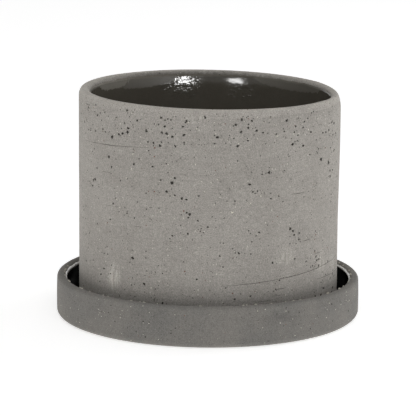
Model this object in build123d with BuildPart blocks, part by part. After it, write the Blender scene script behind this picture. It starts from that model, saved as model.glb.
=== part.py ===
from build123d import *

import os

# Stoneware planter that waters itself from its saucer.
#
# A thick-walled cylindrical pot stands on a notched foot ring inside a shallow saucer. Both are
# raw grogged stoneware outside and carry a glossy glaze inside, so the saucer holds a reservoir.
# A rubber grommet lines the pot's drain hole and a felt wick passes through it, from the soil
# down into the water under the pot. Felt pads under the saucer stand a little proud of it.
#
# Millimetres, +Z up. The origin is on the axis, at the level of the surface under the pads.

# Overall sizes
pot_diameter = 160.0
overall_height = 141.5
saucer_height = 25.4  # from the surface to the saucer's rim
water_gap = 7.6  # all round between the pot and the saucer's glazed wall

# Stoneware walls, before glazing
pot_wall = 6.0
pot_floor = 6.5
saucer_wall = 5.7
saucer_floor = 5.0
glaze = 0.5  # thickness of the fired glaze

# Edges and corners
pot_rim_flat = 0.4  # left between the two rounds of the rim
saucer_rim_flat = 0.5
pot_heel_round = 4.0
saucer_heel_round = 6.0
pot_inner_round = 10.0
saucer_inner_round = 5.0
glaze_edge = 0.35  # bevel where a glaze runs out
pot_bare_band = 0.2  # unglazed, below the rim's round
saucer_bare_band = 0.2

# Foot ring that lifts the pot's floor above the water
foot_ring_inset = 14.0  # from the pot's side to the ring's outer edge
foot_ring_width = 9.0
foot_height = 6.0
foot_notch_width = 14.0
foot_notch_count = 4

# Recess and pads under the saucer
recess_inset = 20.0  # from the saucer's side to the recess
pad_inset = 6.0  # from the edge of the recess to a pad's edge
pad_diameter = 16.0
pad_thickness = 2.0
pad_proud = 0.5
pad_count = 4

# Wick, and the grommet and drain hole that it passes through
wick_diameter = 8.4
wick_clearance = 0.3  # all round, in the grommet
wick_disc_overhang = 11.0  # past the grommet's flange
wick_disc_thickness = 3.0
wick_water_gap = 1.0  # from the wick's end to the saucer's glazed floor
grommet_wall = 2.5
grommet_flange_width = 4.0
grommet_flange = 1.2  # thickness

# Rounds that take up the walls' tops
pot_rim_round = (pot_wall - pot_rim_flat) / 2
saucer_rim_round = (saucer_wall - saucer_rim_flat) / 2

# Levels that follow from the sizes above, from the surface upwards
saucer_underside = pad_proud
recess_ceiling = pad_thickness
saucer_clay_floor = saucer_underside + saucer_floor
saucer_water_floor = saucer_clay_floor + glaze
pot_foot_level = saucer_water_floor  # the foot ring stands on the glazed floor
pot_underside = pot_foot_level + foot_height
pot_clay_floor = pot_underside + pot_floor
pot_glazed_floor = pot_clay_floor + glaze
pot_glaze_top = overall_height - pot_rim_round - pot_bare_band
saucer_glaze_top = saucer_height - saucer_rim_round - saucer_bare_band
grommet_bottom = pot_underside - grommet_flange
grommet_top = pot_glazed_floor + grommet_flange
wick_end = saucer_water_floor + wick_water_gap

# Radii that follow
pot_radius = pot_diameter / 2
pot_clay_bore = pot_radius - pot_wall
pot_glazed_bore = pot_clay_bore - glaze
saucer_glazed_bore = pot_radius + water_gap
saucer_clay_bore = saucer_glazed_bore + glaze
saucer_radius = saucer_clay_bore + saucer_wall
recess_radius = saucer_radius - recess_inset
pad_circle_radius = recess_radius - pad_inset - pad_diameter / 2
foot_ring_radius = pot_radius - foot_ring_inset
wick_radius = wick_diameter / 2
grommet_bore = wick_radius + wick_clearance
drain_radius = grommet_bore + grommet_wall
grommet_flange_radius = drain_radius + grommet_flange_width
wick_disc_radius = grommet_flange_radius + wick_disc_overhang


def corner(sketch, radius, level):
    """The sketch's vertex at that radius and level, to be rounded or bevelled."""
    return sketch.vertices().sort_by_distance((radius, level))[0]


# Pot: a revolved wall and floor, then the foot ring, its notches and the drain hole
with BuildPart() as pot_body:
    with BuildSketch(Plane.XZ) as pot_section:
        with BuildLine():
            Polyline(
                (0, pot_underside),
                (pot_radius, pot_underside),
                (pot_radius, overall_height),
                (pot_clay_bore, overall_height),
                (pot_clay_bore, pot_clay_floor),
                (0, pot_clay_floor),
                close=True,
            )
        make_face()
        fillet(corner(pot_section, pot_radius, pot_underside), pot_heel_round)
        fillet(corner(pot_section, pot_radius, overall_height), pot_rim_round)
        fillet(corner(pot_section, pot_clay_bore, overall_height), pot_rim_round)
        fillet(corner(pot_section, pot_clay_bore, pot_clay_floor), pot_inner_round)
    revolve(axis=Axis.Z)
    with BuildSketch(Plane.XY.offset(pot_foot_level)):
        Circle(foot_ring_radius)
        Circle(foot_ring_radius - foot_ring_width, mode=Mode.SUBTRACT)
    extrude(amount=foot_height)
    with BuildSketch(Plane.XY.offset(pot_foot_level)):
        with PolarLocations(foot_ring_radius - foot_ring_width / 2, foot_notch_count):
            Rectangle(2 * foot_ring_width, foot_notch_width)
    extrude(amount=foot_height, mode=Mode.SUBTRACT)
    with Locations((0, 0, pot_clay_floor)):
        Hole(drain_radius, depth=pot_floor)

# Pot glaze: a lining from the drain hole's edge up to the bare band
with BuildPart() as pot_glaze:
    with BuildSketch(Plane.XZ) as glaze_section:
        with BuildLine():
            Polyline(
                (drain_radius, pot_clay_floor),
                (pot_clay_bore, pot_clay_floor),
                (pot_clay_bore, pot_glaze_top),
                (pot_glazed_bore, pot_glaze_top),
                (pot_glazed_bore, pot_glazed_floor),
                (drain_radius, pot_glazed_floor),
                close=True,
            )
        make_face()
        fillet(corner(glaze_section, pot_clay_bore, pot_clay_floor), pot_inner_round)
        fillet(corner(glaze_section, pot_glazed_bore, pot_glazed_floor), pot_inner_round - glaze)
        chamfer(corner(glaze_section, pot_glazed_bore, pot_glaze_top), glaze_edge)
    revolve(axis=Axis.Z)

# Saucer: a shallow dish with a recess underneath for the pads
with BuildPart() as saucer_body:
    with BuildSketch(Plane.XZ) as saucer_section:
        with BuildLine():
            Polyline(
                (0, saucer_underside),
                (saucer_radius, saucer_underside),
                (saucer_radius, saucer_height),
                (saucer_clay_bore, saucer_height),
                (saucer_clay_bore, saucer_clay_floor),
                (0, saucer_clay_floor),
                close=True,
            )
        make_face()
        fillet(corner(saucer_section, saucer_radius, saucer_underside), saucer_heel_round)
        fillet(corner(saucer_section, saucer_radius, saucer_height), saucer_rim_round)
        fillet(corner(saucer_section, saucer_clay_bore, saucer_height), saucer_rim_round)
        fillet(corner(saucer_section, saucer_clay_bore, saucer_clay_floor), saucer_inner_round)
    revolve(axis=Axis.Z)
    with BuildSketch(Plane.XY.offset(saucer_underside)):
        Circle(recess_radius)
    extrude(amount=recess_ceiling - saucer_underside, mode=Mode.SUBTRACT)

# Saucer glaze: the watertight lining that makes the saucer a reservoir
with BuildPart() as saucer_glaze:
    with BuildSketch(Plane.XZ) as lining_section:
        with BuildLine():
            Polyline(
                (0, saucer_clay_floor),
                (saucer_clay_bore, saucer_clay_floor),
                (saucer_clay_bore, saucer_glaze_top),
                (saucer_glazed_bore, saucer_glaze_top),
                (saucer_glazed_bore, saucer_water_floor),
                (0, saucer_water_floor),
                close=True,
            )
        make_face()
        inner_corner = corner(lining_section, saucer_glazed_bore, saucer_water_floor)
        fillet(inner_corner, saucer_inner_round - glaze)
        fillet(corner(lining_section, saucer_clay_bore, saucer_clay_floor), saucer_inner_round)
        chamfer(corner(lining_section, saucer_glazed_bore, saucer_glaze_top), glaze_edge)
    revolve(axis=Axis.Z)

# Grommet: a flanged rubber bush that grips the drain hole's edge above and below
with BuildPart() as drain_grommet:
    with BuildSketch(Plane.XZ) as grommet_section:
        with BuildLine():
            Polyline(
                (grommet_bore, grommet_bottom),
                (grommet_flange_radius, grommet_bottom),
                (grommet_flange_radius, pot_underside),
                (drain_radius, pot_underside),
                (drain_radius, pot_glazed_floor),
                (grommet_flange_radius, pot_glazed_floor),
                (grommet_flange_radius, grommet_top),
                (grommet_bore, grommet_top),
                close=True,
            )
        make_face()
        for level in (grommet_bottom, grommet_top):
            fillet(corner(grommet_section, grommet_flange_radius, level), grommet_flange / 2)
    revolve(axis=Axis.Z)

# Wick: a felt disc under the soil with a round tail down into the water
with BuildPart() as felt_wick:
    with BuildSketch(Plane.XY.offset(grommet_top)):
        Circle(wick_disc_radius)
    extrude(amount=wick_disc_thickness)
    with BuildSketch(Plane.XY.offset(wick_end)):
        Circle(wick_radius)
    extrude(amount=grommet_top - wick_end)

# Pads: felt discs glued in the saucer's recess
pads = []
for place in PolarLocations(pad_circle_radius, pad_count):
    with BuildPart() as pad:
        with BuildSketch(Plane.XY):
            with Locations(place.position):
                Circle(pad_diameter / 2)
        extrude(amount=recess_ceiling)
    pads.append(pad)

pieces = {
    "pot_body": pot_body,
    "pot_glaze": pot_glaze,
    "saucer_body": saucer_body,
    "saucer_glaze": saucer_glaze,
    "drain_grommet": drain_grommet,
    "felt_wick": felt_wick,
}
pieces.update({f"saucer_pad_{number}": pad for number, pad in enumerate(pads, start=1)})

os.makedirs("parts", exist_ok=True)
for name, piece in pieces.items():
    piece.part.label = name
    export_step(piece.part, f"parts/{name}.step")
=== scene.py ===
"""Looks of a stoneware planter that waters itself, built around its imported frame.

A turned pot of raw grogged stoneware stands in a matching saucer. Both are glazed inside. Every
visible piece is a turned or carved mesh, in millimetres while it is made and in metres once it is
finished, in the frame's own coordinates: +Z up, -Y to the front.
"""

from __future__ import annotations

import logging
import math
import random
from dataclasses import dataclass
from enum import Enum
from typing import Callable, Iterable, Iterator, Sequence

import bmesh
import bpy
from mathutils import Matrix, Vector, noise

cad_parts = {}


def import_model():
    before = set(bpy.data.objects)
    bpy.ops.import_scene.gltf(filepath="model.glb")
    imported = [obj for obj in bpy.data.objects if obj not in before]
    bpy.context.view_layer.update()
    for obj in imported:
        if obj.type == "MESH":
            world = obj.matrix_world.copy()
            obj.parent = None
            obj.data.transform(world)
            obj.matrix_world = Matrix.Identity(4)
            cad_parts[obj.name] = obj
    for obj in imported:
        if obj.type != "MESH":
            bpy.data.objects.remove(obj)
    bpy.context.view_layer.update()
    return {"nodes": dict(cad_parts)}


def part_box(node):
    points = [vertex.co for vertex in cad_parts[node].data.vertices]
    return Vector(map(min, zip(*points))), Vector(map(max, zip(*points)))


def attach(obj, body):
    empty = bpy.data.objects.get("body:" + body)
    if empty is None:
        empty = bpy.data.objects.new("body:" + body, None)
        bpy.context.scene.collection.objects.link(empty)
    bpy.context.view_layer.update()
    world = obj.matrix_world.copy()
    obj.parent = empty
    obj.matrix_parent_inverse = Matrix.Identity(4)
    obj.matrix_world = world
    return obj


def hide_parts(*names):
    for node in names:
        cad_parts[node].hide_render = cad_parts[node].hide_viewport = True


log = logging.getLogger("planter")

MM = 0.001
FULL_TURN = 2 * math.pi
WELD = 0.001  # mm, below which two vertices are one
AXIS = Vector((0.0, 0.0, 1.0))
WHITE = (1.0, 1.0, 1.0, 1.0)

Socket = bpy.types.NodeSocket
Material = bpy.types.Material
Mesh = bmesh.types.BMesh
Piece = bpy.types.Object


# ---------------------------------------------------------------------------------------------
# Numbers and colours
# ---------------------------------------------------------------------------------------------


def linear(hex_colour: str) -> tuple[float, float, float, float]:
    """Turns an sRGB hex colour into the linear values that a shader takes.

    Args:
        hex_colour: Six hex digits after a hash, such as "#94908A".

    Returns:
        Red, green, blue and an alpha of 1.
    """
    channels = [int(hex_colour[i : i + 2], 16) / 255 for i in (1, 3, 5)]
    red, green, blue = (
        c / 12.92 if c <= 0.04045 else ((c + 0.055) / 1.055) ** 2.4 for c in channels
    )
    return red, green, blue, 1.0


def smooth(low: float, high: float, value: float) -> float:
    """Rises smoothly from 0 at low to 1 at high, or falls where low is the larger."""
    t = min(max((value - low) / (high - low), 0.0), 1.0)
    return t * t * (3 - 2 * t)


def bearing(point: Vector) -> float:
    """Returns the angle round the axis in radians, 0 at the front, growing towards +X."""
    return math.atan2(point.x, -point.y)


def on_wall(angle: float, height: float, radius: float) -> Vector:
    """Returns the point at radians from the front, and a height and radius in mm."""
    return Vector((radius * math.sin(angle), -radius * math.cos(angle), height))


def waver(point: Vector, size: float, seed: float) -> float:
    """Reads one of many smooth random fields, from about -1 to 1, with swells of one size in mm."""
    return noise.noise(point / size + Vector((seed, -seed, 2 * seed)))


# ---------------------------------------------------------------------------------------------
# Turned and carved meshes
# ---------------------------------------------------------------------------------------------


class Cut(Enum):
    """What a second mesh does to the first."""

    AWAY = "DIFFERENCE"
    ADD = "UNION"


class Turning:
    """A mesh in millimetres that starts as a section spun round the Z axis."""

    def __init__(self, section: Sequence[tuple[float, float]], steps: int, closed: bool = True) -> None:
        """Spins a section.

        Args:
            section: Corners as radius and height, in mm.
            steps: Facets in a full turn.
            closed: Whether the last corner joins the first.
        """
        self.mesh = bmesh.new()
        corners = [self.mesh.verts.new((radius, 0.0, height)) for radius, height in section]
        pairs = list(zip(corners, corners[1:]))
        if closed:
            pairs.append((corners[-1], corners[0]))
        edges = [self.mesh.edges.new(pair) for pair in pairs]
        bmesh.ops.spin(
            self.mesh,
            geom=corners + edges,
            cent=(0, 0, 0),
            axis=AXIS,
            dvec=(0, 0, 0),
            angle=FULL_TURN,
            steps=steps,
            use_merge=True,
        )
        bmesh.ops.remove_doubles(self.mesh, verts=self.mesh.verts, dist=WELD)
        bmesh.ops.recalc_face_normals(self.mesh, faces=self.mesh.faces)

    def round_ring(self, radius: float, height: float, size: float, segments: int) -> None:
        """Rounds the ring of edges at one radius and height.

        Args:
            radius: Radius of the ring, in mm.
            height: Height of the ring, in mm.
            size: Radius of the round, in mm.
            segments: Facets across the round.
        """

        def on_ring(vertex: bmesh.types.BMVert) -> bool:
            """Tells whether a vertex is on the ring."""
            flat = math.hypot(vertex.co.x, vertex.co.y)
            return abs(flat - radius) < 0.01 and abs(vertex.co.z - height) < 0.01

        ring = [edge for edge in self.mesh.edges if all(on_ring(v) for v in edge.verts)]
        round_edges(self.mesh, ring, size, segments)

    def add_levels(self, low: float, high: float, spacing: float) -> None:
        """Cuts level rings into the mesh, so that it can be bent.

        Args:
            low: Lowest ring's height, in mm.
            high: Highest ring's height, in mm.
            spacing: Height between rings, in mm.
        """
        count = max(1, round((high - low) / spacing))
        for i in range(count + 1):
            level = low + (high - low) * i / count
            bmesh.ops.bisect_plane(
                self.mesh,
                geom=self.mesh.verts[:] + self.mesh.edges[:] + self.mesh.faces[:],
                dist=WELD,
                plane_co=(0, 0, level),
                plane_no=AXIS,
            )

    def move(self, place: Callable[[Vector], Vector]) -> None:
        """Moves every vertex to where a function puts it, in mm."""
        for vertex in self.mesh.verts:
            vertex.co = place(vertex.co.copy())

    def finish(self, name: str, material: Material) -> Piece:
        """Makes the Blender object, in metres, and frees the working mesh."""
        return finish_mesh(self.mesh, name, material)


def round_edges(
    mesh: Mesh, edges: list[bmesh.types.BMEdge], size: float, segments: int
) -> None:
    """Rounds edges of a working mesh.

    Args:
        mesh: The working mesh.
        edges: Its edges to round.
        size: Radius of the round, in mm.
        segments: Facets across the round.
    """
    bmesh.ops.bevel(
        mesh,
        geom=edges,
        offset=size,
        offset_type="OFFSET",
        segments=segments,
        profile=0.5,
        affect="EDGES",
        material=-1,
    )


def finish_mesh(mesh: Mesh, name: str, material: Material) -> Piece:
    """Turns a working mesh in millimetres into an object in metres.

    Args:
        mesh: The working mesh, which is freed.
        name: Name of the object and of its mesh.
        material: Material of every face.

    Returns:
        The object, linked to the scene and at the origin.
    """
    bmesh.ops.scale(mesh, vec=(MM, MM, MM), verts=mesh.verts)
    data = bpy.data.meshes.new(name)
    mesh.to_mesh(data)
    mesh.free()
    data.materials.append(material)
    data.shade_smooth()
    made = bpy.data.objects.new(name, data)
    bpy.context.scene.collection.objects.link(made)
    return made


def cut(piece: Piece, tool: Piece, how: Cut) -> None:
    """Carves a piece with a second mesh, or adds the second mesh to it, and drops the second.

    Args:
        piece: The piece to change.
        tool: The mesh that changes it. Its material marks the new faces.
        how: Whether to take away or to add.
    """
    step = piece.modifiers.new("cut", "BOOLEAN")
    step.operation = how.value
    step.object = tool
    step.solver = "MANIFOLD"
    step.material_mode = "TRANSFER"
    apply_modifiers(piece)
    bpy.data.objects.remove(tool)


def apply_modifiers(piece: Piece) -> None:
    """Replaces a piece's mesh by what its modifiers make of it.

    Args:
        piece: The piece, which ends with no modifiers.
    """
    graph = bpy.context.evaluated_depsgraph_get()
    made = bpy.data.meshes.new_from_object(piece.evaluated_get(graph))
    made.name = piece.name
    old = piece.data
    piece.modifiers.clear()
    piece.data = made
    bpy.data.meshes.remove(old)


def shade(piece: Piece, crease_degrees: float) -> None:
    """Shades a piece smooth, but for edges where its faces turn by more than an angle."""
    piece.data.shade_smooth()
    piece.data.set_sharp_from_angle(angle=math.radians(crease_degrees))


# ---------------------------------------------------------------------------------------------
# Finishes
# ---------------------------------------------------------------------------------------------


class Nodes:
    """A node tree that is being filled."""

    def __init__(self, tree: bpy.types.NodeTree) -> None:
        """Empties a tree and takes it."""
        tree.nodes.clear()
        self.tree = tree

    def add(self, kind: str, *inputs, out: int | str = 0, **fields) -> Socket | None:
        """Adds a node with its settings and links.

        Args:
            kind: The node's type, without its "ShaderNode" prefix.
            *inputs: Values of its first inputs, or the sockets that feed them.
            out: The output to return.
            **fields: Its own properties, in lower case, and further inputs by name, which start
                with a capital and have _ for each space.

        Returns:
            The output, or None from the node that ends a tree.
        """
        node = self.tree.nodes.new("ShaderNode" + kind)
        values = dict(enumerate(inputs))
        for name, value in fields.items():
            if name[0].isupper():
                values[name.replace("_", " ")] = value
            else:
                setattr(node, name, value)
        for name, value in values.items():
            if isinstance(value, Socket):
                self.tree.links.new(value, node.inputs[name])
            else:
                node.inputs[name].default_value = value
        return node.outputs[out] if node.outputs else None


def new_material(name: str) -> tuple[Material, Nodes, Socket]:
    """Starts a material.

    Args:
        name: Name of the material.

    Returns:
        The material, its nodes, and the Object coordinates in millimetres.
    """
    material = bpy.data.materials.new(name)
    material.use_nodes = True
    nodes = Nodes(material.node_tree)
    place = nodes.add("TexCoord", out="Object")
    return material, nodes, nodes.add("VectorMath", place, Scale=1 / MM, operation="SCALE")


@dataclass(frozen=True)
class Rub:
    """A place on the wall where the skin of the clay was rubbed paler or darker."""

    angle: float  # degrees from the front, growing towards +X
    height: float  # mm
    half_wide: float  # degrees
    half_tall: float  # mm
    strength: float  # share of the colour added, less than 0 for a darker rub


def unroll(nodes: Nodes, place: Socket) -> Socket:
    """Lays the wall out flat.

    Args:
        nodes: The material's nodes.
        place: Object coordinates in mm.

    Returns:
        The degrees from the front as X, and the height in mm as Y.
    """
    x, y, z = nodes.add("SeparateXYZ", place).node.outputs
    front = nodes.add("Math", y, -1.0, operation="MULTIPLY")
    angle = nodes.add("Math", x, front, operation="ARCTAN2")
    return nodes.add("CombineXYZ", nodes.add("Math", angle, operation="DEGREES"), z)


def oval(nodes: Nodes, place: Socket, centre: Sequence[float], half: Sequence[float]) -> Socket:
    """Measures how far points are from the middle of an oval.

    Args:
        nodes: The material's nodes.
        place: The points.
        centre: Its middle.
        half: Its half sizes.

    Returns:
        The distance, which is 1 on the oval's edge.
    """
    away = nodes.add("VectorMath", place, centre, operation="SUBTRACT")
    scaled = nodes.add("VectorMath", away, [1 / size for size in half], operation="MULTIPLY")
    return nodes.add("VectorMath", scaled, out="Value", operation="LENGTH")


def patch(nodes: Nodes, unrolled: Socket, mark: Rub, core: float) -> Socket:
    """Finds how far a point of the wall is inside an oval mark.

    Args:
        nodes: The material's nodes.
        unrolled: The point as degrees from the front and height in mm.
        mark: The mark.
        core: The part of its half size inside which it has its full strength.

    Returns:
        A value from 0 outside it to its strength.
    """
    far = oval(nodes, unrolled, (mark.angle, mark.height, 0), (mark.half_wide, mark.half_tall, 1))
    return nodes.add(
        "MapRange", far, 1.0, core, 0.0, mark.strength, interpolation_type="SMOOTHSTEP"
    )


def streaks(nodes: Nodes, place: Socket, wide: float, tall: float, detail: float = 2.0) -> Socket:
    """Makes noise that is drawn out along the wall or up it.

    Args:
        nodes: The material's nodes.
        place: Object coordinates in mm.
        wide: Length of a streak along the wall, in mm.
        tall: Its height, in mm.
        detail: Octaves of the noise.

    Returns:
        The noise, from 0 to 1.
    """
    stretch = (1 / wide, 1 / wide, 1 / tall)
    drawn = nodes.add("VectorMath", place, stretch, operation="MULTIPLY")
    return nodes.add("TexNoise", Vector=drawn, Scale=1.0, Detail=detail)


@dataclass(frozen=True)
class Stoneware:
    """Raw stoneware: a coarse clay with crushed fired clay in it, thrown and left unglazed.

    It is matt all over, so it has no highlight. The grit shows as fine grains lighter and darker
    than the body, iron in the clay as dark and rusty specks, and the trimming tool as faint level
    lines. Handling leaves pale upright rubs.
    """

    name: str
    body: str
    shade: str  # the darker tone of its clouds
    speck: str = "#3B3834"
    rust: str = "#6A4436"
    grog: str = "#D2CEC2"
    stain_colour: str = "#5F5B52"
    cloud_mm: float = 24.0
    grain_mm: float = 0.6
    grain_depth: float = 0.34
    patch_depth: float = 0.05
    speck_share: float = 0.5
    fine_share: float = 0.22
    grog_share: float = 0.2
    roughness: float = 0.92
    painted_lip_light: float = 1.5  # how much paler the top of the lip is drawn: painted light on faces that look up
    lip_height: float = 0.0  # mm, above which a face that looks up is the lip
    rubs: tuple[Rub, ...] = ()
    rub_wide: float = 1.6  # mm, of the streaks that break a rub up
    rub_tall: float = 7.0
    stain_radius: float = 0.0  # mm, inside which the lip is stained by the glaze
    stain_height: float = 0.0  # mm, above which it is
    stain_back: tuple[float, float] = (46.0, 66.0)  # mm behind the axis, over which it sets in

    def build(self) -> Material:
        """Builds the material.

        Returns:
            The material.
        """
        material, nodes, place = new_material(self.name)
        clouds, grains, patches = (
            nodes.add("TexNoise", Vector=place, Scale=1 / size, Detail=detail)
            for size, detail in ((self.cloud_mm, 3.0), (self.grain_mm, 2.0), (self.grain_mm * 5, 2.0))
        )
        cloudiness = nodes.add("MapRange", clouds, 0.38, 0.62)
        colour = nodes.add("MixRGB", cloudiness, linear(self.shade), linear(self.body))
        for source, low, high, depth in (
            (streaks(nodes, place, 45, 1.1), 0.3, 0.7, 0.03),  # the trimming tool's level lines
            (patches, 0.3, 0.7, self.patch_depth),
            (grains, 0.25, 0.75, self.grain_depth),
        ):
            tone = nodes.add("MapRange", source, low, high, 1 - depth, 1 + depth)
            colour = nodes.add("VectorMath", colour, Scale=tone, operation="SCALE")
        # Painted light: above the lip's height, faces that look up are drawn paler, as if lit more from
        # above.
        looks_up = nodes.add("SeparateXYZ", nodes.add("NewGeometry", out="Normal"), out="Z")
        level = nodes.add("MapRange", looks_up, 0.0, 0.75, 0.0, self.painted_lip_light - 1)
        height = nodes.add("SeparateXYZ", place, out="Z")
        above = nodes.add("Math", height, self.lip_height, operation="GREATER_THAN")
        painted_top_light = nodes.add("Math", level, above, 1.0, operation="MULTIPLY_ADD")
        colour = nodes.add("VectorMath", colour, Scale=painted_top_light, operation="SCALE")
        if self.rubs:
            colour = self.rub(nodes, place, colour)
        if self.stain_radius:
            colour = self.stain(nodes, place, colour)
        specks = (self.speck, self.rust)
        colour, fine = self.sprinkle(nodes, place, colour, 1.5, self.fine_share, specks)
        colour, coarse = self.sprinkle(nodes, place, colour, 2.6, self.speck_share, specks)
        colour, _ = self.sprinkle(nodes, place, colour, 1.8, self.grog_share, (self.grog,) * 2)
        holes = nodes.add("Math", fine, coarse, operation="MAXIMUM")
        relief = nodes.add("Math", grains, holes, operation="SUBTRACT")
        shader = nodes.add(
            "BsdfPrincipled",
            Base_Color=colour,
            Roughness=self.roughness,
            Diffuse_Roughness=0.9,
            Specular_IOR_Level=0.2,
            IOR=1.5,
            Normal=nodes.add("Bump", Strength=0.6, Distance=0.00012, Height=relief),
        )
        nodes.add("OutputMaterial", shader)
        return material

    def rub(self, nodes: Nodes, place: Socket, colour: Socket) -> Socket:
        """Rubs places on the wall paler or darker, in broken upright streaks.

        Args:
            nodes: The material's nodes.
            place: Object coordinates in mm.
            colour: The colour to rub.

        Returns:
            The rubbed colour.
        """
        unrolled = unroll(nodes, place)
        total: Socket | float = 0.0
        for mark in self.rubs:
            total = nodes.add("Math", total, patch(nodes, unrolled, mark, 0.1), operation="ADD")
        upright = streaks(nodes, place, self.rub_wide, self.rub_tall, 3.0)
        broken = nodes.add("MapRange", upright, 0.36, 0.66, 0.0, 2.0)
        tone = nodes.add("Math", total, broken, 1.0, operation="MULTIPLY_ADD")
        return nodes.add("VectorMath", colour, Scale=tone, operation="SCALE")

    def stain(self, nodes: Nodes, place: Socket, colour: Socket) -> Socket:
        """Darkens the inside of the lip, where a thin wash of glaze soaked into the clay.

        Args:
            nodes: The material's nodes.
            place: Object coordinates in mm.
            colour: The colour to stain.

        Returns:
            The stained colour.
        """
        flat = nodes.add("VectorMath", place, (1, 1, 0), operation="MULTIPLY")
        radius = nodes.add("VectorMath", flat, out="Value", operation="LENGTH")
        blots = nodes.add("TexNoise", Vector=place, Scale=1 / 2.2, Detail=3.0)
        ragged = nodes.add("Math", blots, 2.4, radius, operation="MULTIPLY_ADD")
        _, y, z = nodes.add("SeparateXYZ", place).node.outputs
        share = nodes.add("Math", z, self.stain_height, operation="GREATER_THAN")
        for part in (
            nodes.add("MapRange", ragged, self.stain_radius + 2.0, self.stain_radius),
            nodes.add("MapRange", y, *self.stain_back),
        ):
            share = nodes.add("Math", share, part, operation="MULTIPLY")
        return nodes.add("MixRGB", share, colour, linear(self.stain_colour))

    @staticmethod
    def sprinkle(
        nodes: Nodes,
        place: Socket,
        colour: Socket,
        spacing: float,
        share: float,
        hues: tuple[str, str],
    ) -> tuple[Socket, Socket]:
        """Scatters small irregular grains over a colour.

        Args:
            nodes: The material's nodes.
            place: Object coordinates in mm.
            colour: The colour to put the grains on.
            spacing: Mean distance between places for a grain, in mm.
            share: The part of those places that hold one.
            hues: Colour of most grains, and of the rest.

        Returns:
            The new colour, and how far each point is inside a grain, from 0 to 1.
        """
        ragged = nodes.add("TexNoise", Vector=place, Scale=1.6, Detail=1.0, out="Color")
        shifted = nodes.add("VectorMath", ragged, (0.6,) * 3, place, operation="MULTIPLY_ADD")
        distance = nodes.add("TexVoronoi", Vector=shifted, Scale=1 / spacing, Randomness=1.0)
        lot = nodes.add("SeparateColor", distance.node.outputs["Color"]).node.outputs
        chosen = nodes.add("Math", lot[0], 1 - share, operation="GREATER_THAN")
        size = nodes.add("MapRange", lot[1], 0.0, 1.0, 0.08, 0.22)
        depth = nodes.add("MapRange", distance, size, 0.0, 0.0, 2.5)
        inside = nodes.add("Math", depth, chosen, operation="MULTIPLY", use_clamp=True)
        which = nodes.add("Math", lot[2], 0.88, operation="GREATER_THAN")
        grain = nodes.add("MixRGB", which, *(linear(hue) for hue in hues))
        return nodes.add("MixRGB", inside, colour, grain), inside


@dataclass(frozen=True)
class BrokenClay:
    """A broken face of fired clay: the torn inside of a pit, or a pale grain of grog."""

    name: str
    body: str
    dark: str

    def build(self) -> Material:
        """Builds the material.

        Returns:
            The material.
        """
        material, nodes, place = new_material(self.name)
        crumbs = nodes.add("TexNoise", Vector=place, Scale=2.5, Detail=3.0)
        shader = nodes.add(
            "BsdfPrincipled",
            Base_Color=nodes.add("MixRGB", crumbs, linear(self.dark), linear(self.body)),
            Roughness=0.95,
            Specular_IOR_Level=0.15,
            Normal=nodes.add("Bump", Strength=0.6, Distance=0.0001, Height=crumbs),
        )
        nodes.add("OutputMaterial", shader)
        return material


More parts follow.
